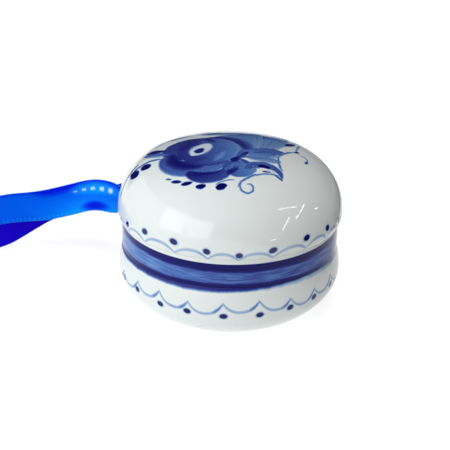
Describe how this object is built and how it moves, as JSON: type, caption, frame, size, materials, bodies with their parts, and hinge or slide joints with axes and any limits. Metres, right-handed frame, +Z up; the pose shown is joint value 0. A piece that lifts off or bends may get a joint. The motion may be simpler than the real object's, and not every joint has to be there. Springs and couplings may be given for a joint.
{
  "type": "hanging porcelain ornament",
  "caption": "Hollow porcelain ornament shaped like a macaron, painted in cobalt blue, with a flat foot and a satin ribbon loop to hang it by.",
  "frame": {"origin": "centre of the foot, on the surface that the ornament stands on", "axes": "+Z up along the axis of the round body, +X to the right and +Y away from the viewer in the picture"},
  "size_m": [0.129, 0.0514, 0.0362],
  "materials": {
    "porcelain": "clear gloss glaze over cobalt brush painting",
    "cobalt_porcelain": "clear gloss glaze over a cobalt wash",
    "satin": "satin weave"
  },
  "bodies": {
    "ornament": {"upper_shell": "porcelain", "filling_ring": "cobalt_porcelain", "lower_shell": "porcelain", "ribbon_bight": "satin"},
    "ribbon_loop": {"ribbon_near_strand": "satin", "ribbon_far_strand": "satin", "ribbon_knot": "satin", "ribbon_long_tail": "satin", "ribbon_short_tail": "satin"}
  },
  "joints": [
    {"name": "ribbon_lift", "type": "hinge", "parent": "ornament", "child": "ribbon_loop", "pos_m": [-0.01937, 0.01258, 0.0173], "axis": [0.5446, 0.8387, 0], "range_deg": [0, 30]}
  ]
}
